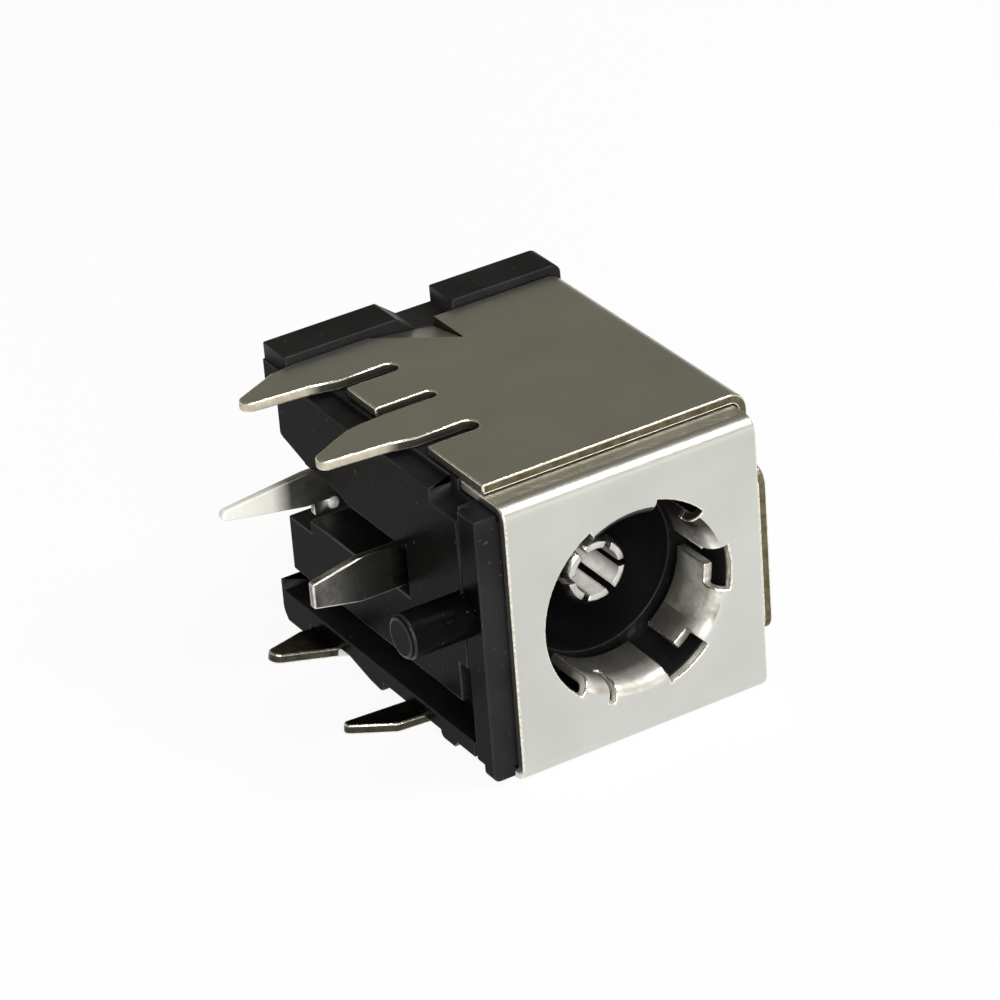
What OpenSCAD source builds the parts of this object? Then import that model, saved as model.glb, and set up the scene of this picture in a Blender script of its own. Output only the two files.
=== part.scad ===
// DC barrel jack for a printed circuit board: a moulded body inside a folded
// sheet-metal shell. It lies on its side. The plug axis is the Y axis, the mouth
// faces -Y, the legs and the board are on the -X side, and the +X side is on top
// once the jack stands on its board. Origin: plug axis, outer face of the mouth.

/* [Mouth and fingers] */
// Diameter of the round hole in the face
mouth_d = 7.1; // [6.9:0.1:7.3]
// Diameter between the rolled-in fingers
finger_bore_d = 5.9; // [5.7:0.1:6.1]
// How deep the fingers reach behind the face
finger_depth = 2.3; // [1.9:0.1:2.6]

/* [Shell] */
// Thickness of the sheet
sheet = 0.35; // [0.25:0.01:0.4]
// Width of the face, from the board side to the top side
face_w = 9.5; // [9.2:0.1:10.5]
// Height of the face, from fold to fold
face_h = 10.1; // [9.9:0.1:11]
// Outer radius of the folds of the face
fold_r = 0.55; // [0.45:0.05:0.7]
// Length of the flap that is folded back from the face
flap_len = 2.6; // [1.8:0.1:3]
// Outer radius of the bends of the long wall
bend_r = 0.65; // [0.6:0.05:1]
// How far the side walls start behind the face
wall_setback = 1.2; // [0.9:0.05:1.4]
// Depth of the shell, from the face to its rear edge
shell_depth = 12.1; // [11.9:0.1:12.3]
// How deep the slots run into the side walls
slot_depth = 2.1; // [1.5:0.1:2.6]
// Length of the solder legs below the seating plane
leg_len = 2.35; // [1.8:0.05:2.8]
// Width of each leg at its root
leg_w = 1.97; // [1.7:0.01:2]
// Radius of the tip of a leg
leg_tip_r = 0.34; // [0.2:0.01:0.4]
// Angle by which the front leg of the lower wall is bent inwards
leg_bend = 5; // [0:1:8]
// Angle by which the rear leg of the lower wall is bent inwards
rear_leg_bend = 11; // [0:1:13]

/* [Housing] */
// How far the housing stands out past the board-side edge of the shell
stand_off = 0.87; // [0.6:0.01:1.1]
// Thickness of the moulded body behind the rear edge of the shell
rear_t = 0.75; // [0.65:0.05:1]
// How far the ledge above the body reaches past its rear face
ledge_reach = 0.75; // [0.5:0.05:1]
// How far the foot below the body reaches past its rear face
foot_reach = 1.1; // [0.75:0.05:1.3]
// Depth of the recess in the rear of the body
recess_depth = 1.5; // [1.3:0.05:1.7]
// Thickness of the front flange
flange_t = 1.15; // [0.9:0.05:1.4]
// Diameter of the moulded barrel behind the fingers
barrel_d = 5.9; // [5.7:0.1:6.2]
// Depth of the barrel behind the face
barrel_depth = 10; // [9.6:0.1:10.3]
// Diameter of the locating peg
peg_d = 1.54; // [1.2:0.01:1.7]
// Length of the locating peg
peg_len = 2.3; // [1.5:0.05:2.6]
// Place of the peg behind the face
peg_y = 1.6; // [1.5:0.05:2]
// Depth of the long groove in the board side
groove_depth = 1.1; // [0.6:0.05:1.4]

/* [Contacts] */
// How far the peg and the contact tails stand to the side of the plug axis
tail_z = 0.9; // [0.7:0.05:1]
// Diameter of the centre pin
pin_d = 2.5; // [1.9:0.1:2.7]
// How far the tip of the pin stands back from the face
pin_recess = 2.5; // [1.8:0.1:3.5]
// Diameter of the hollow in the tip of the pin
pin_hollow_d = 1.65; // [1:0.05:1.7]
// Length of the slits in the pin
pin_slit_len = 3; // [2:0.1:4]
// Number of slits in the pin
pin_slits = 6; // [4:1:8]
// Width of the centre terminal's tail at the seating plane
terminal_w = 1.25; // [0.9:0.05:1.3]
// Width of the centre terminal's tail at the tip
terminal_tip_w = 0.4; // [0.3:0.05:0.8]
// Thickness of the contact strip
strip = 0.3; // [0.2:0.01:0.35]
// Width of the contact tails at the housing
tail_w = 1.6; // [1.3:0.05:1.7]
// Width of the contact tails at the tip
tail_tip_w = 0.9; // [0.6:0.05:1.1]
// Length of the taper of the contact tails
tail_taper = 1.7; // [1:0.05:2]
// Length of the contact tails below the seating plane
tail_len = 3.18; // [2.5:0.02:3.6]
// Place of the sleeve contact's tail behind the face
sleeve_tail_y = 5.5; // [5.3:0.05:5.8]
// Width of the spring of the sleeve contact
spring_w = 1.5; // [1.2:0.05:1.55]

/* [Hidden] */

// Clearance between assembled pieces, and how far a cutter runs past a face
fit = 0.05;
past = 1;

// Shell: planes of its sides, of the board and of the leg tips
edge_x = -face_w / 2;
seat_x = edge_x - stand_off;
leg_tip_x = seat_x - leg_len;
low_z = -face_h / 2;
lap_gap = 0.05;
top_in_z = face_h / 2 + lap_gap;
top_z = top_in_z + sheet;
wall_gap = 0.15;
wall_in_x = face_w / 2 + wall_gap;
wall_x = wall_in_x + sheet;

// Relief cut between the strip under the face and the bend of the lower wall
relief_y = wall_setback - 0.1;

// Fingers: the neck of each one at the face and the leaf behind it, in degrees
mouth_r = mouth_d / 2;
finger_r = finger_bore_d / 2;
roll_r = mouth_r - finger_r;
leaf_setback = 0.1;
fingers = [
    [75, 118, 72, 124],
    [14, 43, 12, 46],
    [-45, -13, -57, 0],
    [228, 287, 228, 287]
];
finger_slit = [247, 251];
finger_slit_depth = 1.3;

// Slots of the side walls: place behind the face and width
slots = [[4.87, 0.7], [7.47, 0.5], [shell_depth - 2.22, 0.6]];
leg_y = [slots[0][0] + slots[0][1] / 2, slots[2][0] + slots[2][1] / 2];
narrow_tip_r = 0.2;
narrow_leg_w = 1.05;
tongue_z = [-3.2, 2.9];
tongue_setback = 0.3;
tongue_corner_r = 0.6;

// Corner at the rear edge of the upper wall, cut free on one side and bent down
lance_x = 0.05;
lance_w = 2.5;
lance_y = shell_depth - 1.95;
lance_end_y = shell_depth - fit;
lance_len = lance_end_y - lance_y;
lance_sink = 0.3;
crease = 0.04;

// Housing: planes that follow the shell
core_x = edge_x - 2 * fit;
board_x = edge_x - fit;
front_y = sheet + fit;
flange_y = front_y + flange_t;
rear_y = shell_depth + fit;
body_depth = rear_y + rear_t;
inner_low_z = low_z + sheet + fit;
inner_top_z = top_in_z - fit;
inner_x = wall_in_x - fit;
flap_in_z = face_h / 2 - sheet - fit;

// Board side: flange with a thin lip along its lower end, seam, rails, grooves and peg
flange_z = [low_z + 0.18, face_h / 2 - 0.3];
flange_corner_r = 0.25;
lip_y = front_y + 0.6;
seam_w = 0.12;
seam_depth = 0.12;
rail_z = [low_z + 0.61, face_h / 2 - 0.22];
rail_notch_z = rail_z[1] - 0.5;
rail_notch_y = 3.1;
bulge_y = [2.6, 3.7];
bulge_z = low_z + 0.37;
bump_y = [leg_y[0] + 2.08, leg_y[0] + 4.3];
bump_z = low_z + 0.23;
bump_r = 0.3;
groove_z = [low_z + 1.15, low_z + 2.5];
branch_w = 0.5;
branch_z = low_z + 3.95;
peg_r = peg_d / 2;
peg_tip_chamfer = 0.12;

// Slot of the sleeve contact, from the board side through to the barrel
slot_play = 0.13;
slot_z = [tail_z - tail_w / 2 - slot_play, tail_z + tail_w / 2 + fit];
slot_lead = 0.55;
slot_y = sleeve_tail_y - slot_lead;
slot_x = seat_x + 1.75;
slot_flare_y = sleeve_tail_y + 2.9;
slot_flare_len = 1.2;

// Socket, barrel and rear wall
socket_r = mouth_r + fit;
socket_y = finger_depth + 0.5;
barrel_r = barrel_d / 2;
recess_y = body_depth - recess_depth;
recess_z = [tail_z - 1.4, tail_z + 1.25];
recess_slope = 0.35;
recess_edge_r = 0.25;
recess_r = 1.75;

// Rear ledge and foot, and the two blocks that the upper wall butts against
ledge_y = body_depth + ledge_reach;
foot_y = body_depth + foot_reach;
ledge_z = face_h / 2 - 0.8;
foot_z = low_z + 1.6;
rear_top_z = face_h / 2 + 0.1;
rear_x = wall_x - fit;
foot_r = 0.6;
foot_corner_r = 0.12;
block_z = top_z + 0.3;
block_inset = 0.07;
block_ramp_x = [-1.25, -0.5];
block_right_x = 0.88;
block_corner_r = 0.35;

// Centre pin
pin_r = pin_d / 2;
pin_hollow_r = pin_hollow_d / 2;
pin_cone = 0.5;
pin_chamfer = 0.2;
pin_slit_w = 0.22;
shank_r = 0.7;
rivet_r = 1.1;
rivet_t = 0.35;

// Contact strips
tail_tip_x = seat_x - tail_len;
terminal_y = recess_y + fit;
terminal_z = tail_z + 0.18;
terminal_tip_z = tail_z + 0.27;
terminal_step = 0.25;
terminal_head_r = 1.5;
dimple_r = 0.26;
dimple_rise = 0.14;
dimple_x = seat_x + 0.98;
shoulder_len = 0.9;
spring_x = -barrel_r - 0.5;
spring_bend_r = 0.5;
spring_bow = 0.75;
spring_end_y = barrel_depth - 0.4;

// Extrudes an outline drawn in X and Z along the plug axis
module along_axis(from, to) {
    translate([0, to, 0])
        rotate([90, 0, 0])
            linear_extrude(to - from)
                children();
}

// Extrudes an outline drawn in Y and Z away from the board
module across(from, to) {
    translate([from, 0, 0])
        rotate([90, 0, 90])
            linear_extrude(to - from)
                children();
}

// Extrudes an outline drawn in X and Y upwards
module up(from, to) {
    translate([0, 0, from])
        linear_extrude(to - from)
            children();
}

// Turns a profile drawn in radius and depth about the plug axis, from one angle to another
module about_axis(from, to) {
    rotate([0, -to, 0])
        rotate([-90, 0, 0])
            rotate_extrude(angle = to - from, $fn = 96)
                children();
}

// Places a cylinder or cone on the plug axis, its base at depth y
module on_axis(y) {
    translate([0, y, 0])
        rotate([-90, 0, 0])
            children();
}

module slab(x, y, z) {
    translate([x[0], y[0], z[0]])
        cube([x[1] - x[0], y[1] - y[0], z[1] - z[0]]);
}

function arc(c, r, from, to, steps = 8) =
    [for (i = [0:steps]) c + r * [cos(from + (to - from) * i / steps), sin(from + (to - from) * i / steps)]];

// ---------- shell ----------

// Section of the wrap across the plug axis, with its two bends on the +X side
module wrap_outline(inset) {
    r = bend_r - inset;
    x = wall_x - inset;
    z = [low_z + inset, top_z - inset];
    polygon(concat(
        [[edge_x, z[0]]],
        arc([x - r, z[0] + r], r, -90, 0),
        arc([x - r, z[1] - r], r, 0, 90),
        [[edge_x, z[1]]]
    ));
}

module wrap() {
    difference() {
        along_axis(wall_setback, shell_depth)
            wrap_outline(0);
        along_axis(wall_setback - past, shell_depth + past) {
            wrap_outline(sheet);
            translate([edge_x - past, low_z + sheet])
                square([2 * past, top_z - low_z - 2 * sheet]);
        }
    }
}

module slot(y, w) {
    end_x = edge_x + slot_depth;
    translate([edge_x - past, y - w / 2])
        square([slot_depth + past - w / 2, w]);
    translate([end_x - w / 2, y])
        circle(w / 2, $fn = 24);
}

// Outline of one leg: straight along its slot, swept back on the far side to a round tip
module leg_outline(y, root_x) {
    tip = [leg_tip_x + leg_tip_r, y + 0.75];
    far = min(y + leg_w, shell_depth);
    polygon(concat(
        [[root_x, y], [seat_x, y + 0.2]],
        arc(tip, leg_tip_r, 265, 130),
        [[seat_x - 1.3, far - 0.45], [seat_x - 0.6, far - 0.1], [seat_x, far], [root_x, far]]
    ));
}

// Outline of the front leg of the lower wall: narrow, straight on its far side, swept on its near side
module narrow_leg_outline(y) {
    tip = [leg_tip_x + narrow_tip_r, y + 0.7];
    polygon(concat(
        [[edge_x, y], [edge_x - 0.3, y - 0.12], [seat_x - 0.83, y - 0.17], [seat_x - 1.5, y + 0.15]],
        arc(tip, narrow_tip_r, 235, 100),
        [[edge_x, y + narrow_leg_w]]
    ));
}

// Places a leg of the lower wall and bends it inwards at the edge of the wall
module low_leg(bend) {
    translate([edge_x, 0, low_z])
        rotate([0, bend, 0])
            translate([-edge_x, 0, 0])
                up(0, sheet)
                    children();
}

module legs() {
    for (y = leg_y)
        up(top_in_z, top_z)
            leg_outline(y, edge_x + fit);
    low_leg(leg_bend)
        narrow_leg_outline(leg_y[0]);
    low_leg(rear_leg_bend)
        leg_outline(leg_y[1], edge_x);
}

module tongue() {
    r = tongue_corner_r;
    across(wall_in_x, wall_x)
        polygon(concat(
            arc([tongue_setback + r, tongue_z[1] - r], r, 90, 180),
            arc([tongue_setback + r, tongue_z[0] + r], r, 180, 270),
            [[wall_setback + fit, tongue_z[0]], [wall_setback + fit, tongue_z[1]]]
        ));
}

// Section of the face along the plug axis: strip, fold, face, fold and flap
module face_outline() {
    r = fold_r - sheet;
    z = face_h / 2;
    polygon(concat(
        [[relief_y, -z]],
        arc([fold_r, fold_r - z], fold_r, 270, 180),
        arc([fold_r, z - fold_r], fold_r, 180, 90),
        [[flap_len, z], [flap_len, z - sheet]],
        arc([fold_r, z - fold_r], r, 90, 180),
        arc([fold_r, fold_r - z], r, 180, 270),
        [[relief_y, sheet - z]]
    ));
}

module face() {
    difference() {
        across(edge_x, edge_x + face_w)
            face_outline();
        on_axis(-past)
            cylinder(r = mouth_r, h = sheet + 2 * past, $fn = 96);
    }
    slab([edge_x, wall_x - bend_r], [relief_y - fit, wall_setback + fit], [low_z, low_z + sheet]);
}

// Profile of a finger: out of the face, round a quarter turn and back along the mouth
module finger_profile() {
    centre = [mouth_r, roll_r];
    polygon(concat(
        [[mouth_r + fit, 0]],
        arc(centre, roll_r, 270, 180),
        [[finger_r, finger_depth], [finger_r + sheet, finger_depth]],
        arc(centre, roll_r - sheet, 180, 270),
        [[mouth_r + fit, sheet]]
    ));
}

// The leaf behind the bend is wider than the neck on most fingers
module finger(f) {
    difference() {
        union() {
            about_axis(f[0], f[1])
                finger_profile();
            about_axis(f[2], f[3])
                translate([finger_r, roll_r + leaf_setback])
                    square([sheet, finger_depth - roll_r - leaf_setback]);
        }
        about_axis(finger_slit[0], finger_slit[1])
            translate([0, -past])
                square([mouth_r + 2 * fit, finger_slit_depth + past]);
    }
}

// Opening in the upper wall that is left where its corner is bent down
module lance_cut() {
    run = 1.5;
    start_y = lance_y + crease;
    up(top_in_z - past, top_z + past)
        polygon([
            [lance_x, start_y],
            [lance_x + fit, start_y],
            [lance_x + fit, shell_depth + past],
            [lance_x - run * lance_w, start_y + run * lance_len]
        ]);
}

// The corner itself, turned down about the slanting line where it stays joined to the wall
module lance() {
    fold = atan2(lance_len, -lance_w);
    reach = lance_w * lance_len / norm([lance_w, lance_len]);
    translate([lance_x, lance_y, top_z - crease / 2])
        rotate([0, 0, fold])
            rotate([asin(lance_sink / reach), 0, 0])
                rotate([0, 0, -fold])
                    up(-sheet, 0)
                        polygon([[0, 0], [0, lance_len], [-lance_w, lance_len]]);
}

module shell() {
    color("silver")
        union() {
            difference() {
                wrap();
                for (s = slots)
                    up(low_z - past, top_z + past)
                        slot(s[0], s[1]);
                lance_cut();
            }
            lance();
            legs();
            tongue();
            face();
            for (f = fingers)
                finger(f);
        }
}

// ---------- housing ----------

// Section of the body inside the wrap
module core_outline() {
    r = bend_r - sheet;
    polygon(concat(
        [[core_x, inner_low_z]],
        arc([inner_x - r, inner_low_z + r], r, -90, 0),
        arc([inner_x - r, inner_top_z - r], r, 0, 90),
        [[core_x, inner_top_z]]
    ));
}

// Body inside the shell, stepped down under the flap and clear of the folds
module core() {
    along_axis(flap_len + fit, rear_y + fit)
        core_outline();
    along_axis(fold_r, flap_len + 2 * fit)
        intersection() {
            core_outline();
            translate([core_x, inner_low_z])
                square([face_w + past, flap_in_z - inner_low_z]);
        }
    slab([core_x, inner_x], [front_y, fold_r + fit], [low_z + fold_r, face_h / 2 - fold_r]);
}

// Section of the body behind the shell
module rear_outline() {
    r = bend_r;
    f = foot_corner_r;
    polygon(concat(
        arc([seat_x + f, low_z + f], f, 180, 270),
        arc([rear_x - r, low_z + r], r, -90, 0),
        arc([rear_x - r, rear_top_z - r], r, 0, 90),
        [[seat_x, rear_top_z]]
    ));
}

module rear_band(z) {
    intersection() {
        rear_outline();
        translate([seat_x - past, z[0]])
            square([rear_x - seat_x + 2 * past, z[1] - z[0]]);
    }
}

// The two blocks behind the upper wall; the left one ends in a ramp
module blocks() {
    r = block_corner_r;
    root_z = rear_top_z - fit;
    bend_z = rear_top_z - bend_r;
    polygon([
        [seat_x + block_inset, root_z],
        [block_ramp_x[1], root_z],
        [block_ramp_x[1], rear_top_z],
        [block_ramp_x[0], block_z],
        [seat_x + block_inset, block_z]
    ]);
    polygon(concat(
        [[block_right_x, block_z], [block_right_x, root_z], [rear_x - bend_r, bend_z], [rear_x, bend_z]],
        arc([rear_x - r, block_z - r], r, 0, 90)
    ));
}

// Foot below the body, rounded off along its lower rear edge
module foot() {
    r = foot_r;
    intersection() {
        along_axis(rear_y, foot_y)
            rear_band([low_z, foot_z]);
        across(seat_x - past, rear_x + past)
            polygon(concat(
                [[rear_y - past, low_z - past], [foot_y - r, low_z - past]],
                arc([foot_y - r, low_z + r], r, -90, 0),
                [[foot_y, foot_z + past], [rear_y - past, foot_z + past]]
            ));
    }
}

module rear() {
    along_axis(rear_y, body_depth)
        rear_outline();
    along_axis(rear_y, ledge_y) {
        rear_band([ledge_z, rear_top_z]);
        blocks();
    }
    foot();
}

// Rail of the board side seen from the side: a bulge in front of the legs and a bump between them
module rail_outline() {
    z = rail_z[0];
    bulge_r = z - bulge_z;
    polygon(concat(
        [[flange_y - fit, rail_z[1]], [flange_y - fit, z], [bulge_y[0], z], [bulge_y[0] + bulge_r, bulge_z]],
        arc([bulge_y[1] - bulge_r, z], bulge_r, -90, 0),
        [[bump_y[0], z]],
        arc([bump_y[0] + bump_r, bump_z + bump_r], bump_r, 180, 270),
        [[bump_y[0] + 0.95, bump_z + 0.08], [bump_y[1], z], [rear_y + fit, z], [rear_y + fit, rail_z[1]]]
    ));
}

// Block on the board side: a flange in front and the rail behind it
module board_side() {
    r = flange_corner_r;
    along_axis(front_y, lip_y)
        polygon(concat(
            arc([seat_x + r, flange_z[0] + r], r, 180, 270),
            [[board_x, flange_z[0]], [board_x, flange_z[1]], [seat_x, flange_z[1]]]
        ));
    slab([seat_x, board_x], [front_y, flange_y], [rail_z[0], flange_z[1]]);
    across(seat_x, board_x)
        rail_outline();
}

// The sleeve contact's slot seen from the side, widened by a smooth step towards the recess
module slot_side() {
    end_z = recess_z[1] - fit;
    rise = 0.7 * (end_z - slot_z[1]);
    steps = 8;
    polygon(concat(
        [[slot_y, slot_z[0]], [slot_y, slot_z[1]]],
        [for (i = [0:steps])
            [slot_flare_y + slot_flare_len * i / steps, slot_z[1] + rise * (1 - cos(180 * i / steps)) / 2]],
        [[recess_y + fit, end_z], [body_depth + past, end_z], [body_depth + past, slot_z[0]]]
    ));
}

// Grooves, notches and the slot that open on the board side
module board_side_cuts() {
    seam_x = [seat_x - past, seat_x + seam_depth];
    groove_x = [seat_x - past, seat_x + groove_depth];
    slab(seam_x, [flange_y - seam_w, flange_y], [flange_z[0] - past, flange_z[1] + past]);
    slab([seat_x - past, board_x], [flange_y, rail_notch_y], [rail_notch_z, rail_z[1] + past]);
    slab(groove_x, [flange_y, body_depth + past], groove_z);
    slab(groove_x, [flange_y, flange_y + branch_w], [groove_z[0], branch_z]);
    across(seat_x - past, slot_x)
        slot_side();
    slab([slot_x - fit, -pin_r], [slot_y, spring_end_y + fit], slot_z);
}

// Recess in the rear, open to the board side, for the terminal and the riveted pin
module recess() {
    r = recess_edge_r;
    lip_z = recess_z[1] + recess_slope;
    across(seat_x - past, 0)
        polygon(concat(
            [[recess_y, recess_z[0]], [recess_y, recess_z[1]]],
            arc([body_depth - r, lip_z + r], r, -90, -10),
            [[body_depth + past, lip_z + r], [body_depth + past, recess_z[0]]]
        ));
    on_axis(recess_y)
        cylinder(r = recess_r, h = body_depth + past - recess_y, $fn = 64);
}

module socket() {
    on_axis(-past)
        cylinder(r = socket_r, h = socket_y + past, $fn = 96);
    on_axis(0)
        cylinder(r = barrel_r, h = barrel_depth, $fn = 96);
    on_axis(0)
        cylinder(r = shank_r + fit, h = body_depth, $fn = 48);
}

module peg() {
    translate([seat_x - peg_len, peg_y, tail_z])
        rotate([0, 90, 0]) {
            cylinder(r1 = peg_r - peg_tip_chamfer, r2 = peg_r, h = peg_tip_chamfer, $fn = 48);
            translate([0, 0, peg_tip_chamfer])
                cylinder(r = peg_r, h = peg_len - peg_tip_chamfer + seam_depth + fit, $fn = 48);
        }
}

module housing() {
    color("dimgray")
        union() {
            difference() {
                union() {
                    core();
                    rear();
                    board_side();
                }
                board_side_cuts();
                recess();
                socket();
                slab(
                    [lance_x - lance_w - 2 * fit, lance_x + 2 * fit],
                    [lance_y - 2 * fit, rear_y],
                    [inner_top_z - lance_sink - fit, top_z]
                );
            }
            peg();
        }
}

// ---------- contacts ----------

module centre_pin() {
    color("gainsboro")
        difference() {
            union() {
                on_axis(pin_recess)
                    cylinder(r1 = pin_r - pin_chamfer, r2 = pin_r, h = pin_chamfer, $fn = 64);
                on_axis(pin_recess + pin_chamfer)
                    cylinder(r = pin_r, h = barrel_depth - fit - pin_recess - pin_chamfer, $fn = 64);
                on_axis(barrel_depth - 2 * fit)
                    cylinder(r = shank_r, h = terminal_y + strip + 3 * fit - barrel_depth, $fn = 48);
                on_axis(terminal_y + strip + fit)
                    cylinder(r1 = rivet_r, r2 = shank_r, h = rivet_t, $fn = 48);
            }
            on_axis(pin_recess - past)
                cylinder(r = pin_hollow_r, h = past + pin_slit_len, $fn = 48);
            on_axis(pin_recess + pin_slit_len)
                cylinder(r1 = pin_hollow_r, r2 = 0, h = pin_cone, $fn = 48);
            for (i = [0:pin_slits - 1])
                rotate([0, 360 * i / pin_slits, 0])
                    slab(
                        [0, pin_r + past],
                        [pin_recess - past, pin_recess + pin_slit_len],
                        [-pin_slit_w / 2, pin_slit_w / 2]
                    );
        }
}

// Outline of the rear terminal: a head round the pin, a wide part in the recess and a tapered tail
module terminal_outline() {
    tip_r = terminal_tip_w / 2;
    z = [terminal_z - terminal_w / 2, terminal_z + terminal_w / 2];
    wide_z = slot_z[0] + fit;
    step_x = seat_x + terminal_step;
    difference() {
        union() {
            circle(terminal_head_r, $fn = 64);
            polygon(concat(
                arc([tail_tip_x + tip_r, terminal_tip_z], tip_r, 270, 90),
                [[seat_x, z[1]], [0, z[1]], [0, wide_z], [step_x, wide_z], [step_x, z[0]], [seat_x, z[0]]]
            ));
        }
        circle(shank_r + fit, $fn = 48);
    }
}

module centre_terminal() {
    color("gainsboro")
        union() {
            along_axis(terminal_y, terminal_y + strip)
                terminal_outline();
            translate([dimple_x, terminal_y - dimple_rise, slot_z[0] + dimple_r + fit])
                rotate([-90, 0, 0])
                    cylinder(r1 = dimple_r / 2, r2 = dimple_r, h = dimple_rise + fit, $fn = 32);
        }
}

// Offsets a path sideways
function beside(path, d) =
    [for (i = [0:len(path) - 1])
        let (a = path[max(i - 1, 0)], b = path[min(i + 1, len(path) - 1)], t = (b - a) / norm(b - a))
            path[i] + d * [-t[1], t[0]]];

// Path of the spring in X and Y: a bend out of the tail, then a leaf bowed into the barrel
function spring_path() =
    let (
        y = sleeve_tail_y + strip / 2,
        bend = arc([spring_x - spring_bend_r, y + spring_bend_r], spring_bend_r, -90, 0),
        from = y + spring_bend_r,
        len_y = spring_end_y - from,
        steps = 20
    )
    concat(
        [[slot_x - fit, y]],
        bend,
        [for (i = [1:steps])
            [spring_x + spring_bow * (1 - cos(360 * i / steps)) / 2, from + len_y * i / steps]]
    );

module spring() {
    path = spring_path();
    back = beside(path, -strip / 2);
    up(tail_z - spring_w / 2, tail_z + spring_w / 2)
        polygon(concat(
            beside(path, strip / 2),
            [for (i = [len(path) - 1:-1:0]) back[i]]
        ));
}

// Outline of the sleeve contact's tail, with a shoulder that grips the slot
module sleeve_tail_outline() {
    half = tail_w / 2;
    tip = tail_tip_w / 2;
    polygon([
        [tail_tip_x, tail_z - tip],
        [tail_tip_x + tail_taper, tail_z - half],
        [slot_x - shoulder_len, tail_z - half],
        [slot_x - shoulder_len, slot_z[0] + fit],
        [slot_x, slot_z[0] + fit],
        [slot_x, tail_z + half],
        [tail_tip_x + tail_taper, tail_z + half],
        [tail_tip_x, tail_z + tip]
    ]);
}

module sleeve_contact() {
    color("lightgray")
        union() {
            along_axis(sleeve_tail_y, sleeve_tail_y + strip)
                sleeve_tail_outline();
            spring();
        }
}

housing();
shell();
centre_pin();
centre_terminal();
sleeve_contact();
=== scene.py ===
import math

import bmesh
import bpy
from mathutils import Matrix, Vector
from mathutils.bvhtree import BVHTree


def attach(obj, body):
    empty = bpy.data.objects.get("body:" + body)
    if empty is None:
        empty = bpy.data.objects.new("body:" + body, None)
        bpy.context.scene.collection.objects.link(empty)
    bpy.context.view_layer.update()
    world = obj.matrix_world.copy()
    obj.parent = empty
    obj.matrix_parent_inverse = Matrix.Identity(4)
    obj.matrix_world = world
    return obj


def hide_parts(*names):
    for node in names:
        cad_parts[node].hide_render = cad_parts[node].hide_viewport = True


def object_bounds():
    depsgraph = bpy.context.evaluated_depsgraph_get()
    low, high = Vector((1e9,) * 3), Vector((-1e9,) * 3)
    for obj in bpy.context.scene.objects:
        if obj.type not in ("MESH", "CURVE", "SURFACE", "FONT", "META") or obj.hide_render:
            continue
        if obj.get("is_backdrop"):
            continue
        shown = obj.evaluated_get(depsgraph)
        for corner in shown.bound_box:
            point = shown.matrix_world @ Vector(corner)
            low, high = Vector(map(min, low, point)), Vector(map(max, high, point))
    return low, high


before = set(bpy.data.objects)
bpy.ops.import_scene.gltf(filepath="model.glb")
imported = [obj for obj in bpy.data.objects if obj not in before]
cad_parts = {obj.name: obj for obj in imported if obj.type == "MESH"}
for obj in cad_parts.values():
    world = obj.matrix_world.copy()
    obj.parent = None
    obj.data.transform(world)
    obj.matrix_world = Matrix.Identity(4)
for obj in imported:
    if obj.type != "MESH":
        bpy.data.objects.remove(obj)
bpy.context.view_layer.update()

MM = 0.001

# Rounding and shading of edges: lengths in mm, areas in square mm, angles in degrees.
WELDED_WITHIN = 0.002    # vertices closer than this become one
FLAT_WITHIN = 1          # faces that meet at less than this become one flat face
ROUNDED_FROM = 28        # outer edges that fold more than this are rounded
ROUND_SEGMENTS = 3       # faces across a rounded edge
FOLDED_BACK = 140        # an edge that folds more than this is a fault
SLIVER = 1e-6            # a face smaller than this is a fault
ATTEMPTS = 8             # tries, each with more edges left sharp than the one before
FIRST_REACH = 0.6        # how far from a fault edges are left sharp, in widths of the rounding
REACH_STEP = 0.3         # what each try adds to that
SHORT_EDGE = 0.6         # only shorter edges are left sharp in the first tries,
SHORT_TRIES = 3          # which are this many
SHADED_SHARP_FROM = 50   # edges that fold more than this are shaded sharp
FLAT_SHADED_FROM = 3     # faces from this size on are shaded flat

# Numbers of the materials on each piece.
SHEET, RIM, SHEARED, FINGER, LOWER_FINGER, LOWER_LEG_PAINTED_SHADE, FRONT_EDGE = range(7)
MOULDING, BOARD_SIDE, MOULDING_EDGE = range(3)
PIN_SKIN, PIN_HOLLOW = range(2)
STRIP, DIMPLE = range(2)
SLEEVE_FACE, SLEEVE_RIM = range(2)
AS_BESIDE = -1           # a rounded edge takes the material of the faces beside it

# Places that tell the regions of a piece apart, in mm.
MOUTH_RADIUS = 3.6       # within it, around the plug axis, the shell is all fingers,
BEHIND_FACE = 0.05       # from this y on
LOWER_FINGER_TOP = -1.9  # z
WALL_FRONT = (0.9, 1.3)  # y of the front edges of the walls
TONGUE_FRONT = (0.2, 1.3)
TONGUE_BEYOND = 4.85     # x
LOWER_LEG_X = -5.3       # the lower legs are beyond this x
LOWER_LEG_Z = -4.1       # and below this z
UPPER_WALL_ABOVE = 5.0   # z
UPPER_CUTS_BEHIND = 1.5  # y from which the upper wall has its slots and legs
SHEET_AND_BEND = 0.6     # height that a cut edge of the sheet stays under
HOLLOW_WITHIN = 0.9      # radius around the plug axis
BOARD_SIDE_X = -5.6      # the faces that meet the board and the peg are beyond this x
DIMPLE_X = -7.2          # the dimple's faces are at greater x than this,
DIMPLE_Y = 11.44         # at smaller y than this
DIMPLE_FACET = 0.3       # and smaller than this

NOISE_MIDDLE = (0.35, 0.65)  # the span that most values of a noise fall in


# ---------- shader nodes ----------

def feed(tree, target, **inputs):
    """Sets a node's inputs by name, from values or from the outputs of other nodes."""
    for name, value in inputs.items():
        socket = target.inputs[name.replace("_", " ")]
        if isinstance(value, bpy.types.NodeSocket):
            tree.links.new(value, socket)
        else:
            socket.default_value = value
    return target


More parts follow.
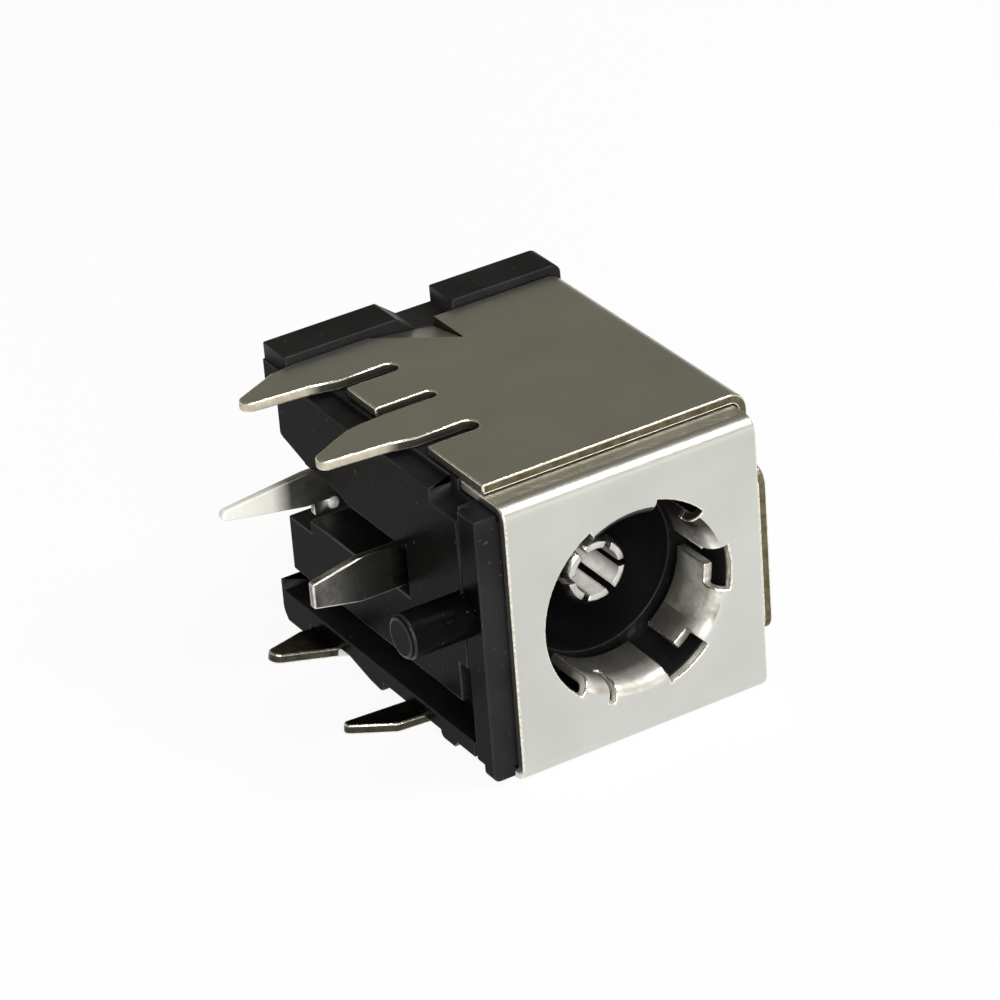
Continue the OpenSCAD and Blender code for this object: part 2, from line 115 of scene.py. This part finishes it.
def node(tree, kind, **inputs):
    return feed(tree, tree.nodes.new(kind), **inputs)


def new_material(name):
    material = bpy.data.materials.new(name)
    material.use_nodes = True
    tree = material.node_tree
    tree.nodes.clear()
    shader = node(tree, "ShaderNodeBsdfPrincipled")
    node(tree, "ShaderNodeOutputMaterial", Surface=shader.outputs["BSDF"])
    return material, tree, shader


def object_coordinates(tree, scale=(1, 1, 1)):
    """Places on the piece in metres, each axis multiplied by its scale."""
    places = node(tree, "ShaderNodeTexCoord").outputs["Object"]
    return node(tree, "ShaderNodeMapping", Vector=places, Scale=scale).outputs["Vector"]


def noise(tree, vector, per_mm, detail=3.0, roughness=0.5):
    """Noise whose features are about 1/per_mm millimetres across."""
    made = node(
        tree, "ShaderNodeTexNoise",
        Vector=vector, Scale=per_mm / MM, Detail=detail, Roughness=roughness,
    )
    return made.outputs["Fac"]


def ramp(tree, value, span, out=(0, 1)):
    """Maps the two ends of a span of a value to the two numbers of out, clamped."""
    made = node(
        tree, "ShaderNodeMapRange",
        Value=value, From_Min=span[0], From_Max=span[1], To_Min=out[0], To_Max=out[1],
    )
    return made.outputs["Result"]


def component(tree, vector, axis):
    return node(tree, "ShaderNodeSeparateXYZ", Vector=vector).outputs[axis]


def along(tree, places, axis, span_mm, out=(0, 1)):
    """A value that changes between two places along one axis."""
    span = [end * MM for end in span_mm]
    return ramp(tree, component(tree, places, axis), span, out)


def combined(tree, operation, first, second):
    made = tree.nodes.new("ShaderNodeMath")
    made.operation = operation
    tree.links.new(first, made.inputs[0])
    tree.links.new(second, made.inputs[1])
    return made.outputs["Value"]


def mixed(tree, share, first, second):
    """The first colour where share is 0 and the second where it is 1."""
    made = tree.nodes.new("ShaderNodeMix")
    made.data_type = "RGBA"
    colors = [c if isinstance(c, bpy.types.NodeSocket) else (*c, 1) for c in (first, second)]
    feed(tree, made, Factor=share, A=colors[0], B=colors[1])
    return made.outputs["Result"]


def bump(tree, heights, strength, depth_mm):
    """Chains height fields into one normal."""
    last = {}
    for height in heights:
        made = node(
            tree, "ShaderNodeBump",
            Strength=strength, Distance=depth_mm * MM, Height=height, **last,
        )
        last = {"Normal": made.outputs["Normal"]}
    return last["Normal"]


# ---------- materials ----------

def nickel_sheet():
    """Rolled sheet steel with satin nickel: fine grain along the roll, faint clouds and pits.

    The upper side of the lower legs is darker than the rest: painted shade, for the shade of the
    housing that they lie in.
    """
    material, tree, shader = new_material("nickel_sheet")
    plain = object_coordinates(tree)
    rolled = object_coordinates(tree, scale=(0.12, 1, 1))
    clouds = noise(tree, plain, per_mm=0.35, detail=4)
    grain = noise(tree, rolled, per_mm=26, detail=4, roughness=0.7)
    pits = noise(tree, plain, per_mm=9, detail=2)
    unshaded_sheet = mixed(tree, ramp(tree, clouds, (0.3, 0.7)), (0.62, 0.62, 0.58), (0.68, 0.68, 0.64))
    # Painted shade: the upper side of the two lower legs turns near black, for the shade of the
    # housing over them.
    on_legs = along(tree, plain, "X", (-5.6, -4.6), (1, 0))
    at_bottom = along(tree, plain, "Z", (-4.3, -4.1), (1, 0))
    normal = node(tree, "ShaderNodeTexCoord").outputs["Normal"]
    facing_up = ramp(tree, component(tree, normal, "Z"), (0.6, 0.8))
    shade = combined(tree, "MULTIPLY", combined(tree, "MULTIPLY", on_legs, facing_up), at_bottom)
    feed(
        tree, shader,
        Base_Color=mixed(tree, shade, unshaded_sheet, (0.05, 0.047, 0.035)),
        Metallic=1.0,
        Roughness=ramp(tree, grain, (0.25, 0.75), (0.3, 0.4)),
        Normal=bump(tree, [grain, pits], strength=0.16, depth_mm=0.012),
    )
    return material


def rim_metal():
    """The rolled-over rim of a sheared edge: bright, with small flats that catch the light."""
    material, tree, shader = new_material("sheared_rim")
    nicks = noise(tree, object_coordinates(tree), per_mm=7, roughness=0.7)
    blend = ramp(tree, nicks, (0.35, 0.6))
    feed(
        tree, shader,
        Base_Color=mixed(tree, blend, (0.62, 0.57, 0.45), (0.98, 0.94, 0.84)),
        Metallic=0.9,
        Roughness=0.22,
        Normal=bump(tree, [nicks], strength=0.6, depth_mm=0.03),
    )
    return material


def dull_metal(name, light, dark, metallic, rough, per_mm=3.0, painted_shade_along=()):
    """Sheared or burnished metal that scatters light, blotched between two tones.

    rough is the roughness of the light and the dark tone. Each entry of the last argument paints
    shade
    onto the metal along an axis: the axis, the lit end and the shaded end in mm, and the part of
    the dark tone that is left at the shaded end.
    """
    material, tree, shader = new_material(name)
    plain = object_coordinates(tree)
    blotches = noise(tree, plain, per_mm, detail=4, roughness=0.6)
    scratches = noise(tree, plain, per_mm=14)
    color = mixed(tree, ramp(tree, blotches, NOISE_MIDDLE), dark, light)
    # Painted shade: each entry darkens the metal along an axis towards its shaded end.
    for axis, lit_end_mm, dark_mm, left in painted_shade_along:
        painted_shade_share = along(tree, plain, axis, (lit_end_mm, dark_mm))
        color = mixed(tree, painted_shade_share, color, [left * c for c in dark])
    feed(
        tree, shader,
        Base_Color=color,
        Metallic=metallic,
        Roughness=ramp(tree, blotches, NOISE_MIDDLE, (rough[1], rough[0])),
        Normal=bump(tree, [blotches, scratches], strength=0.3, depth_mm=0.01),
    )
    return material


def tin_strip_painted_lit_tail():
    """Terminal strip: bright tin inside the housing; towards the tip of the tail it turns
    near-white and less metallic, a painted light for the light that the tail catches.
    """
    material, tree, shader = new_material("tin_with_painted_lit_tail")
    plain = object_coordinates(tree)
    # Painted light: near-white and less metallic towards the tip of the tail.
    painted_light_share = along(tree, plain, "X", (-6.9, -6.2), (1, 0))
    waves = noise(tree, plain, per_mm=1.6)
    fine = noise(tree, plain, per_mm=20)
    metal = mixed(tree, ramp(tree, waves, NOISE_MIDDLE), (0.55, 0.54, 0.48), (0.85, 0.83, 0.76))
    feed(
        tree, shader,
        Base_Color=mixed(tree, painted_light_share, metal, (0.98, 0.97, 0.90)),
        Metallic=ramp(tree, painted_light_share, (0, 1), (1.0, 0.1)),
        Roughness=ramp(tree, painted_light_share, (0, 1), (0.3, 0.45)),
        Normal=bump(tree, [waves, fine], strength=0.25, depth_mm=0.03),
    )
    return material


def bright_plate(name, light, dark, rough, ripple_mm):
    """Bright plating over a turned piece, with soft ripples and slightly duller patches."""
    material, tree, shader = new_material(name)
    plain = object_coordinates(tree)
    patches = noise(tree, plain, per_mm=1.3, detail=4)
    ripples = noise(tree, plain, per_mm=3.5, detail=2)
    fine = noise(tree, plain, per_mm=24)
    feed(
        tree, shader,
        Base_Color=mixed(tree, ramp(tree, patches, NOISE_MIDDLE), dark, light),
        Metallic=1.0,
        Roughness=ramp(tree, patches, (0.35, 0.7), rough),
        Normal=bump(tree, [ripples, fine], strength=0.25, depth_mm=ripple_mm),
    )
    return material


def black_plastic(name, specular, rough, dark, light):
    """Moulded black nylon: a sheen that varies, fine eroded texture and pale dust specks."""
    material, tree, shader = new_material(name)
    plain = object_coordinates(tree)
    sheen = noise(tree, plain, per_mm=0.5, detail=4)
    texture = noise(tree, plain, per_mm=22, detail=4, roughness=0.6)
    dust = noise(tree, plain, per_mm=7, detail=1)
    body = mixed(tree, ramp(tree, sheen, NOISE_MIDDLE), dark, light)
    specks = ramp(tree, dust, (0.74, 0.78), (0, 0.7))
    feed(
        tree, shader,
        Base_Color=mixed(tree, specks, body, (0.09, 0.09, 0.085)),
        Specular_IOR_Level=specular,
        Roughness=ramp(tree, sheen, (0.3, 0.7), rough),
        Normal=bump(tree, [texture], strength=0.25, depth_mm=0.02),
    )
    return material


def paper(glow):
    """White paper that the camera and mirror rays see as plain white, up to the part of glow."""
    material, tree, shader = new_material("paper")
    feed(
        tree, shader,
        Base_Color=(0.93, 0.93, 0.93, 1),
        Roughness=0.9,
        Specular_IOR_Level=0.1,
    )
    rays = node(tree, "ShaderNodeLightPath").outputs
    seen = combined(tree, "MAXIMUM", rays["Is Camera Ray"], rays["Is Glossy Ray"])
    seen = combined(tree, "MAXIMUM", seen, rays["Is Transmission Ray"])
    white = node(tree, "ShaderNodeEmission", Color=(1, 1, 1, 1), Strength=1.0)
    blend = node(tree, "ShaderNodeMixShader", Fac=ramp(tree, seen, (0, 1), (0, glow)))
    tree.links.new(shader.outputs["BSDF"], blend.inputs[1])
    tree.links.new(white.outputs["Emission"], blend.inputs[2])
    feed(tree, tree.nodes["Material Output"], Surface=blend.outputs["Shader"])
    return material


# ---------- rounded edges ----------

def flat_faced(source):
    """The CAD mesh with the triangles of each flat face joined."""
    made = bmesh.new()
    made.from_mesh(source)
    bmesh.ops.remove_doubles(made, verts=made.verts, dist=WELDED_WITHIN * MM)
    bmesh.ops.dissolve_limit(
        made, angle_limit=math.radians(FLAT_WITHIN), verts=made.verts, edges=made.edges,
    )
    made.edges.index_update()
    return made


def faults(made, surface, reach):
    """Places where a rounded edge folds back on itself or strays from the CAD surface."""
    stray = [v for v in made.verts if surface.find_nearest(v.co)[3] > reach]
    places = [end.co.copy() for v in stray for edge in v.link_edges for end in edge.verts]
    for edge in made.edges:
        if len(edge.link_faces) == 2 and edge.calc_face_angle(0) > math.radians(FOLDED_BACK):
            first, second = [v.co.copy() for v in edge.verts]
            places += [first, second, (first + second) / 2]
    slivers = [f for f in made.faces if f.calc_area() < SLIVER * MM * MM]
    return places + [f.calc_center_median() for f in slivers]


def near(place, ends, reach):
    """Whether a place is closer than reach to the stretch between two ends."""
    span = ends[1] - ends[0]
    no_length = 1e-18
    part = (place - ends[0]).dot(span) / max(span.length_squared, no_length)
    return (place - ends[0] - max(0.0, min(1.0, part)) * span).length < reach


def rounded(source, width_mm, region, rim):
    """The CAD solid with its outer edges rounded over a width.

    region gives the number of the material of a flat face, from its middle in mm, its normal and
    its size in mm; rim is the number on the rounded edges. Edges close to a fault are left sharp
    at the next try, and the last try is taken as it is.
    """
    width = width_mm * MM
    original = flat_faced(source)
    surface = BVHTree.FromBMesh(original)
    original.free()
    kept_sharp = set()
    for attempt in range(ATTEMPTS):
        made = flat_faced(source)
        for face in made.faces:
            places = [v.co / MM for v in face.verts]
            size = Vector([max(values) - min(values) for values in zip(*places)])
            face.material_index = region(face.calc_center_median() / MM, face.normal, size)
        edges = [
            e for e in made.edges
            if len(e.link_faces) == 2 and e.is_convex and e.index not in kept_sharp
            and e.calc_face_angle(0) > math.radians(ROUNDED_FROM)
        ]
        ends = {e.index: [v.co.copy() for v in e.verts] for e in edges}
        bmesh.ops.bevel(
            made, geom=edges, offset=width, offset_type="OFFSET", segments=ROUND_SEGMENTS,
            profile=0.5, material=rim, affect="EDGES", clamp_overlap=False,
        )
        troubles = faults(made, surface, width)
        if not troubles or attempt == ATTEMPTS - 1:
            return made
        made.free()
        reach = (FIRST_REACH + REACH_STEP * attempt) * width_mm * MM
        longest = SHORT_EDGE * MM if attempt < SHORT_TRIES else math.inf
        kept_sharp |= {
            index for index, pair in ends.items()
            if (pair[0] - pair[1]).length < longest
            and any(near(place, pair, reach) for place in troubles)
        }


# ---------- pieces ----------

def shell_region(middle, normal, size):
    """The shell's fingers and cut edges differ from its sheet."""
    in_mouth = math.hypot(middle.x, middle.z) < MOUTH_RADIUS and middle.y > BEHIND_FACE
    of_walls = WALL_FRONT[0] < middle.y < WALL_FRONT[1] and normal.y < -0.7
    in_tongue = TONGUE_FRONT[0] < middle.y < TONGUE_FRONT[1] and middle.x > TONGUE_BEYOND
    in_lower_leg = middle.x < LOWER_LEG_X and middle.z < LOWER_LEG_Z
    in_upper_wall = middle.z > UPPER_WALL_ABOVE and middle.y > UPPER_CUTS_BEHIND
    cut_edge = size.z < SHEET_AND_BEND and abs(normal.z) < 0.35
    # Upper and lower fingers take different copies, the upper one darker: painted shade.
    if in_mouth:
        return LOWER_FINGER if middle.z < LOWER_FINGER_TOP else FINGER
    if of_walls or (in_tongue and normal.y < -0.5):
        return FRONT_EDGE
    # The lower legs, all but their underside, take a near-black copy: painted shade, for the
    # shade under the housing.
    if in_lower_leg and normal.z > -0.7:
        return LOWER_LEG_PAINTED_SHADE
    if in_upper_wall and cut_edge:
        return SHEARED
    return SHEET


def pin_region(middle, normal, size):
    """The hollow of the pin takes a near-white, matt copy: painted light, for the light that
    comes in through the mouth.
    """
    radius = math.hypot(middle.x, middle.z)
    inwards = middle.x * normal.x + middle.z * normal.z < -0.1 * radius
    return PIN_HOLLOW if inwards and radius < HOLLOW_WITHIN else PIN_SKIN


def housing_region(middle, normal, size):
    """The peg and the faces that meet the board have a smoother skin than the rest, whose darker
    colour is painted shade.
    """
    return BOARD_SIDE if middle.x < BOARD_SIDE_X else MOULDING


def terminal_region(middle, normal, size):
    """The small faces of the dimple take a near-white copy, a painted glint."""
    in_dimple = middle.x > DIMPLE_X and middle.y < DIMPLE_Y and max(size) < DIMPLE_FACET
    return DIMPLE if in_dimple else STRIP


def sleeve_region(middle, normal, size):
    return SLEEVE_FACE


def softened(name, cad_node, materials, width_mm, region, rim):
    """Stands for a CAD node: the same solid with rounded edges and the scene's materials."""
    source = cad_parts[cad_node].data
    made = rounded(source, width_mm, region, rim)
    mesh = source.copy()
    mesh.materials.clear()  # resets the numbers on the faces, so to_mesh comes after it
    for material in materials:
        mesh.materials.append(material)
    made.to_mesh(mesh)
    made.free()
    piece = bpy.data.objects.new(name, mesh)
    bpy.context.scene.collection.objects.link(piece)
    mesh.shade_smooth()
    mesh.set_sharp_from_angle(angle=math.radians(SHADED_SHARP_FROM))
    for face in mesh.polygons:
        face.use_smooth = face.area < FLAT_SHADED_FROM * MM * MM
    weights = piece.modifiers.new("flat faces keep flat", "WEIGHTED_NORMAL")
    weights.keep_sharp = True
    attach(piece, "root")
    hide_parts(cad_node)


shell_materials = [
    nickel_sheet(),
    rim_metal(),
    # Cut edges of the legs: the painted shade along X darkens them inside the slots of the wall,
    # where the plastic shades them.
    dull_metal(
        "sheared_edge", light=(0.62, 0.57, 0.46), dark=(0.46, 0.41, 0.31),
        metallic=0.25, rough=(0.4, 0.6), painted_shade_along=[("X", -5.8, -5.3, 0.08)],
    ),
    # Fingers in the mouth: the upper fingers take a darker copy than the lower ones and turn
    # near black upwards, and both darken deeper into the mouth: painted shade.
    dull_metal(
        "burnished_finger", light=(0.98, 0.96, 0.90), dark=(0.28, 0.26, 0.22),
        metallic=0.5, rough=(0.2, 0.45), per_mm=0.8,
        painted_shade_along=[("Y", 1.2, 2.3, 0.5), ("Z", 0.8, 1.8, 0.1)],
    ),
    dull_metal(
        "burnished_lower_finger", light=(0.98, 0.97, 0.92), dark=(0.45, 0.43, 0.38),
        metallic=0.5, rough=(0.2, 0.45), per_mm=0.8, painted_shade_along=[("Y", 0.25, 1.1, 0.35)],
    ),
    # Painted shade: a near-black copy for the lower legs, which lie in the shade of the housing.
    dull_metal(
        "painted_shade_lower_legs", light=(0.08, 0.075, 0.055), dark=(0.04, 0.038, 0.028),
        metallic=1.0, rough=(0.3, 0.45),
    ),
    dull_metal(
        "sheared_front", light=(0.19, 0.165, 0.10), dark=(0.09, 0.075, 0.04),
        metallic=0.9, rough=(0.35, 0.5),
    ),
]
housing_materials = [
    black_plastic(
        "black_plastic", specular=0.12, rough=(0.32, 0.45),
        dark=(0.009, 0.009, 0.0095), light=(0.017, 0.017, 0.0175),
    ),
    # Peg and board side: a smoother copy whose darker colour is painted shade.
    black_plastic(
        "black_plastic_peg_painted_shade", specular=0.02, rough=(0.2, 0.3),
        dark=(0.002, 0.002, 0.002), light=(0.004, 0.004, 0.004),
    ),
    # Rounded edges: a glossier copy whose slightly lighter colour paints a soft highlight along
    # them.
    black_plastic(
        "black_plastic_edge", specular=0.2, rough=(0.3, 0.4),
        dark=(0.010, 0.010, 0.011), light=(0.02, 0.02, 0.021),
    ),
]
pin_materials = [
    bright_plate(
        "bright_nickel", light=(0.72, 0.71, 0.67), dark=(0.52, 0.51, 0.46),
        rough=(0.1, 0.22), ripple_mm=0.02,
    ),
    # Painted light: the hollow is near-white and matt, for the light coming in through the
    # mouth; its upper half is darker, painted shade.
    dull_metal(
        "pin_hollow_painted_light", light=(0.98, 0.97, 0.94), dark=(0.80, 0.76, 0.72),
        metallic=0.0, rough=(0.3, 0.5), painted_shade_along=[("Z", -0.5, -0.1, 0.3)],
    ),
]
terminal_materials = [
    tin_strip_painted_lit_tail(),
    # Painted glint: the dimple's faces are near-white.
    dull_metal(
        "dimple_painted_glint", light=(0.98, 0.96, 0.98), dark=(0.92, 0.90, 0.92),
        metallic=0.2, rough=(0.3, 0.4),
    ),
]
# Sleeve contact tail: the dark tones of its face are painted shade, over blotches that vary at
# random; its rounded edges take a lighter tin.
sleeve_materials = [
    dull_metal(
        "sleeve_tin_painted_shade", light=(0.36, 0.35, 0.32), dark=(0.08, 0.075, 0.065),
        metallic=1.0, rough=(0.22, 0.34), per_mm=0.8,
    ),
    dull_metal(
        "sleeve_tin_rim", light=(0.80, 0.77, 0.72), dark=(0.45, 0.43, 0.38),
        metallic=0.9, rough=(0.25, 0.4),
    ),
]
softened(
    "shell_sheet", "shell", shell_materials,
    width_mm=0.06, region=shell_region, rim=RIM,
)
softened(
    "housing_moulding", "housing", housing_materials,
    width_mm=0.055, region=housing_region, rim=MOULDING_EDGE,
)
softened(
    "pin", "centre_pin", pin_materials,
    width_mm=0.035, region=pin_region, rim=AS_BESIDE,
)
softened(
    "terminal", "centre_terminal", terminal_materials,
    width_mm=0.055, region=terminal_region, rim=AS_BESIDE,
)
softened(
    "sleeve_strip", "sleeve_contact", sleeve_materials,
    width_mm=0.055, region=sleeve_region, rim=SLEEVE_RIM,
)


# ---------- floor, light and camera ----------

def add_floor(side, glow):
    """A square of paper under the part; side is in metres."""
    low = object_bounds()[0][2]
    mesh = bpy.data.meshes.new("floor")
    made = bmesh.new()
    bmesh.ops.create_grid(made, x_segments=1, y_segments=1, size=side / 2)
    made.to_mesh(mesh)
    made.free()
    floor = bpy.data.objects.new("floor", mesh)
    bpy.context.scene.collection.objects.link(floor)
    floor.location.z = low
    mesh.materials.append(paper(glow))
    floor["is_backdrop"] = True


def add_world(bright, dim):
    """A plain room: bright near the horizon in front, dim and warm elsewhere."""
    world = bpy.data.worlds.new("room")
    bpy.context.scene.world = world
    world.use_nodes = True
    tree = world.node_tree
    tree.nodes.clear()
    direction = node(tree, "ShaderNodeTexCoord").outputs["Generated"]
    low = ramp(tree, component(tree, direction, "Z"), (0.05, 0.3), (1, 0))
    front = ramp(tree, component(tree, direction, "Y"), (-0.4, 0.2), (1, 0))
    color = mixed(tree, combined(tree, "MULTIPLY", low, front), dim, bright)
    background = node(tree, "ShaderNodeBackground", Color=color)
    node(tree, "ShaderNodeOutputWorld", Surface=background.outputs["Background"])


def add_softbox(name, direction, distance, size, level):
    """An area light that adds about level to the brightness of a white card facing it.

    distance and size are in metres.
    """
    light = bpy.data.lights.new(name, "AREA")
    light.shape = "RECTANGLE"
    light.size, light.size_y = size
    light.energy = level * math.pi * math.pi * distance * distance
    lamp = bpy.data.objects.new(name, light)
    bpy.context.scene.collection.objects.link(lamp)
    aim = Vector(direction).normalized()
    lamp.location = aim * distance
    lamp.rotation_euler = aim.to_track_quat("Z", "Y").to_euler()


def add_camera(place_mm, forward, up, lens_mm, sensor_mm, clip_start):
    """A camera at a place, looking along forward, with up in its vertical plane."""
    data = bpy.data.cameras.new("camera")
    data.sensor_width = sensor_mm
    data.lens = lens_mm
    data.clip_start = clip_start
    camera = bpy.data.objects.new("camera", data)
    bpy.context.scene.collection.objects.link(camera)
    back = -Vector(forward).normalized()
    right = Vector(up).cross(back).normalized()
    over = back.cross(right)
    turn = Matrix((right, over, back)).transposed().to_4x4()
    camera.matrix_world = Matrix.Translation(Vector(place_mm) * MM) @ turn
    bpy.context.scene.camera = camera


add_floor(side=2.0, glow=0.93)
add_world(bright=(0.85, 0.85, 0.84), dim=(0.174, 0.161, 0.126))
add_softbox("overhead", (0.42, -0.36, 0.83), distance=0.35, size=(0.13, 0.13), level=0.36)
add_softbox("sparkle", (0.10, -0.22, 0.97), distance=0.35, size=(0.06, 0.06), level=0.16)
add_softbox("front", (0.50, -0.80, 0.33), distance=0.40, size=(0.30, 0.16), level=0.09)
add_softbox("beside_camera", (-0.30, -0.84, 0.42), distance=0.40, size=(0.24, 0.24), level=0.75)
add_camera(
    place_mm=(-70.39, -114.06, 79.33),
    forward=(0.4345, 0.7561, -0.4894),
    up=(0.311, 0.3839, 0.8694),
    lens_mm=175.3,
    sensor_mm=36,
    clip_start=0.01,
)
bpy.context.scene.view_settings.view_transform = "Standard"
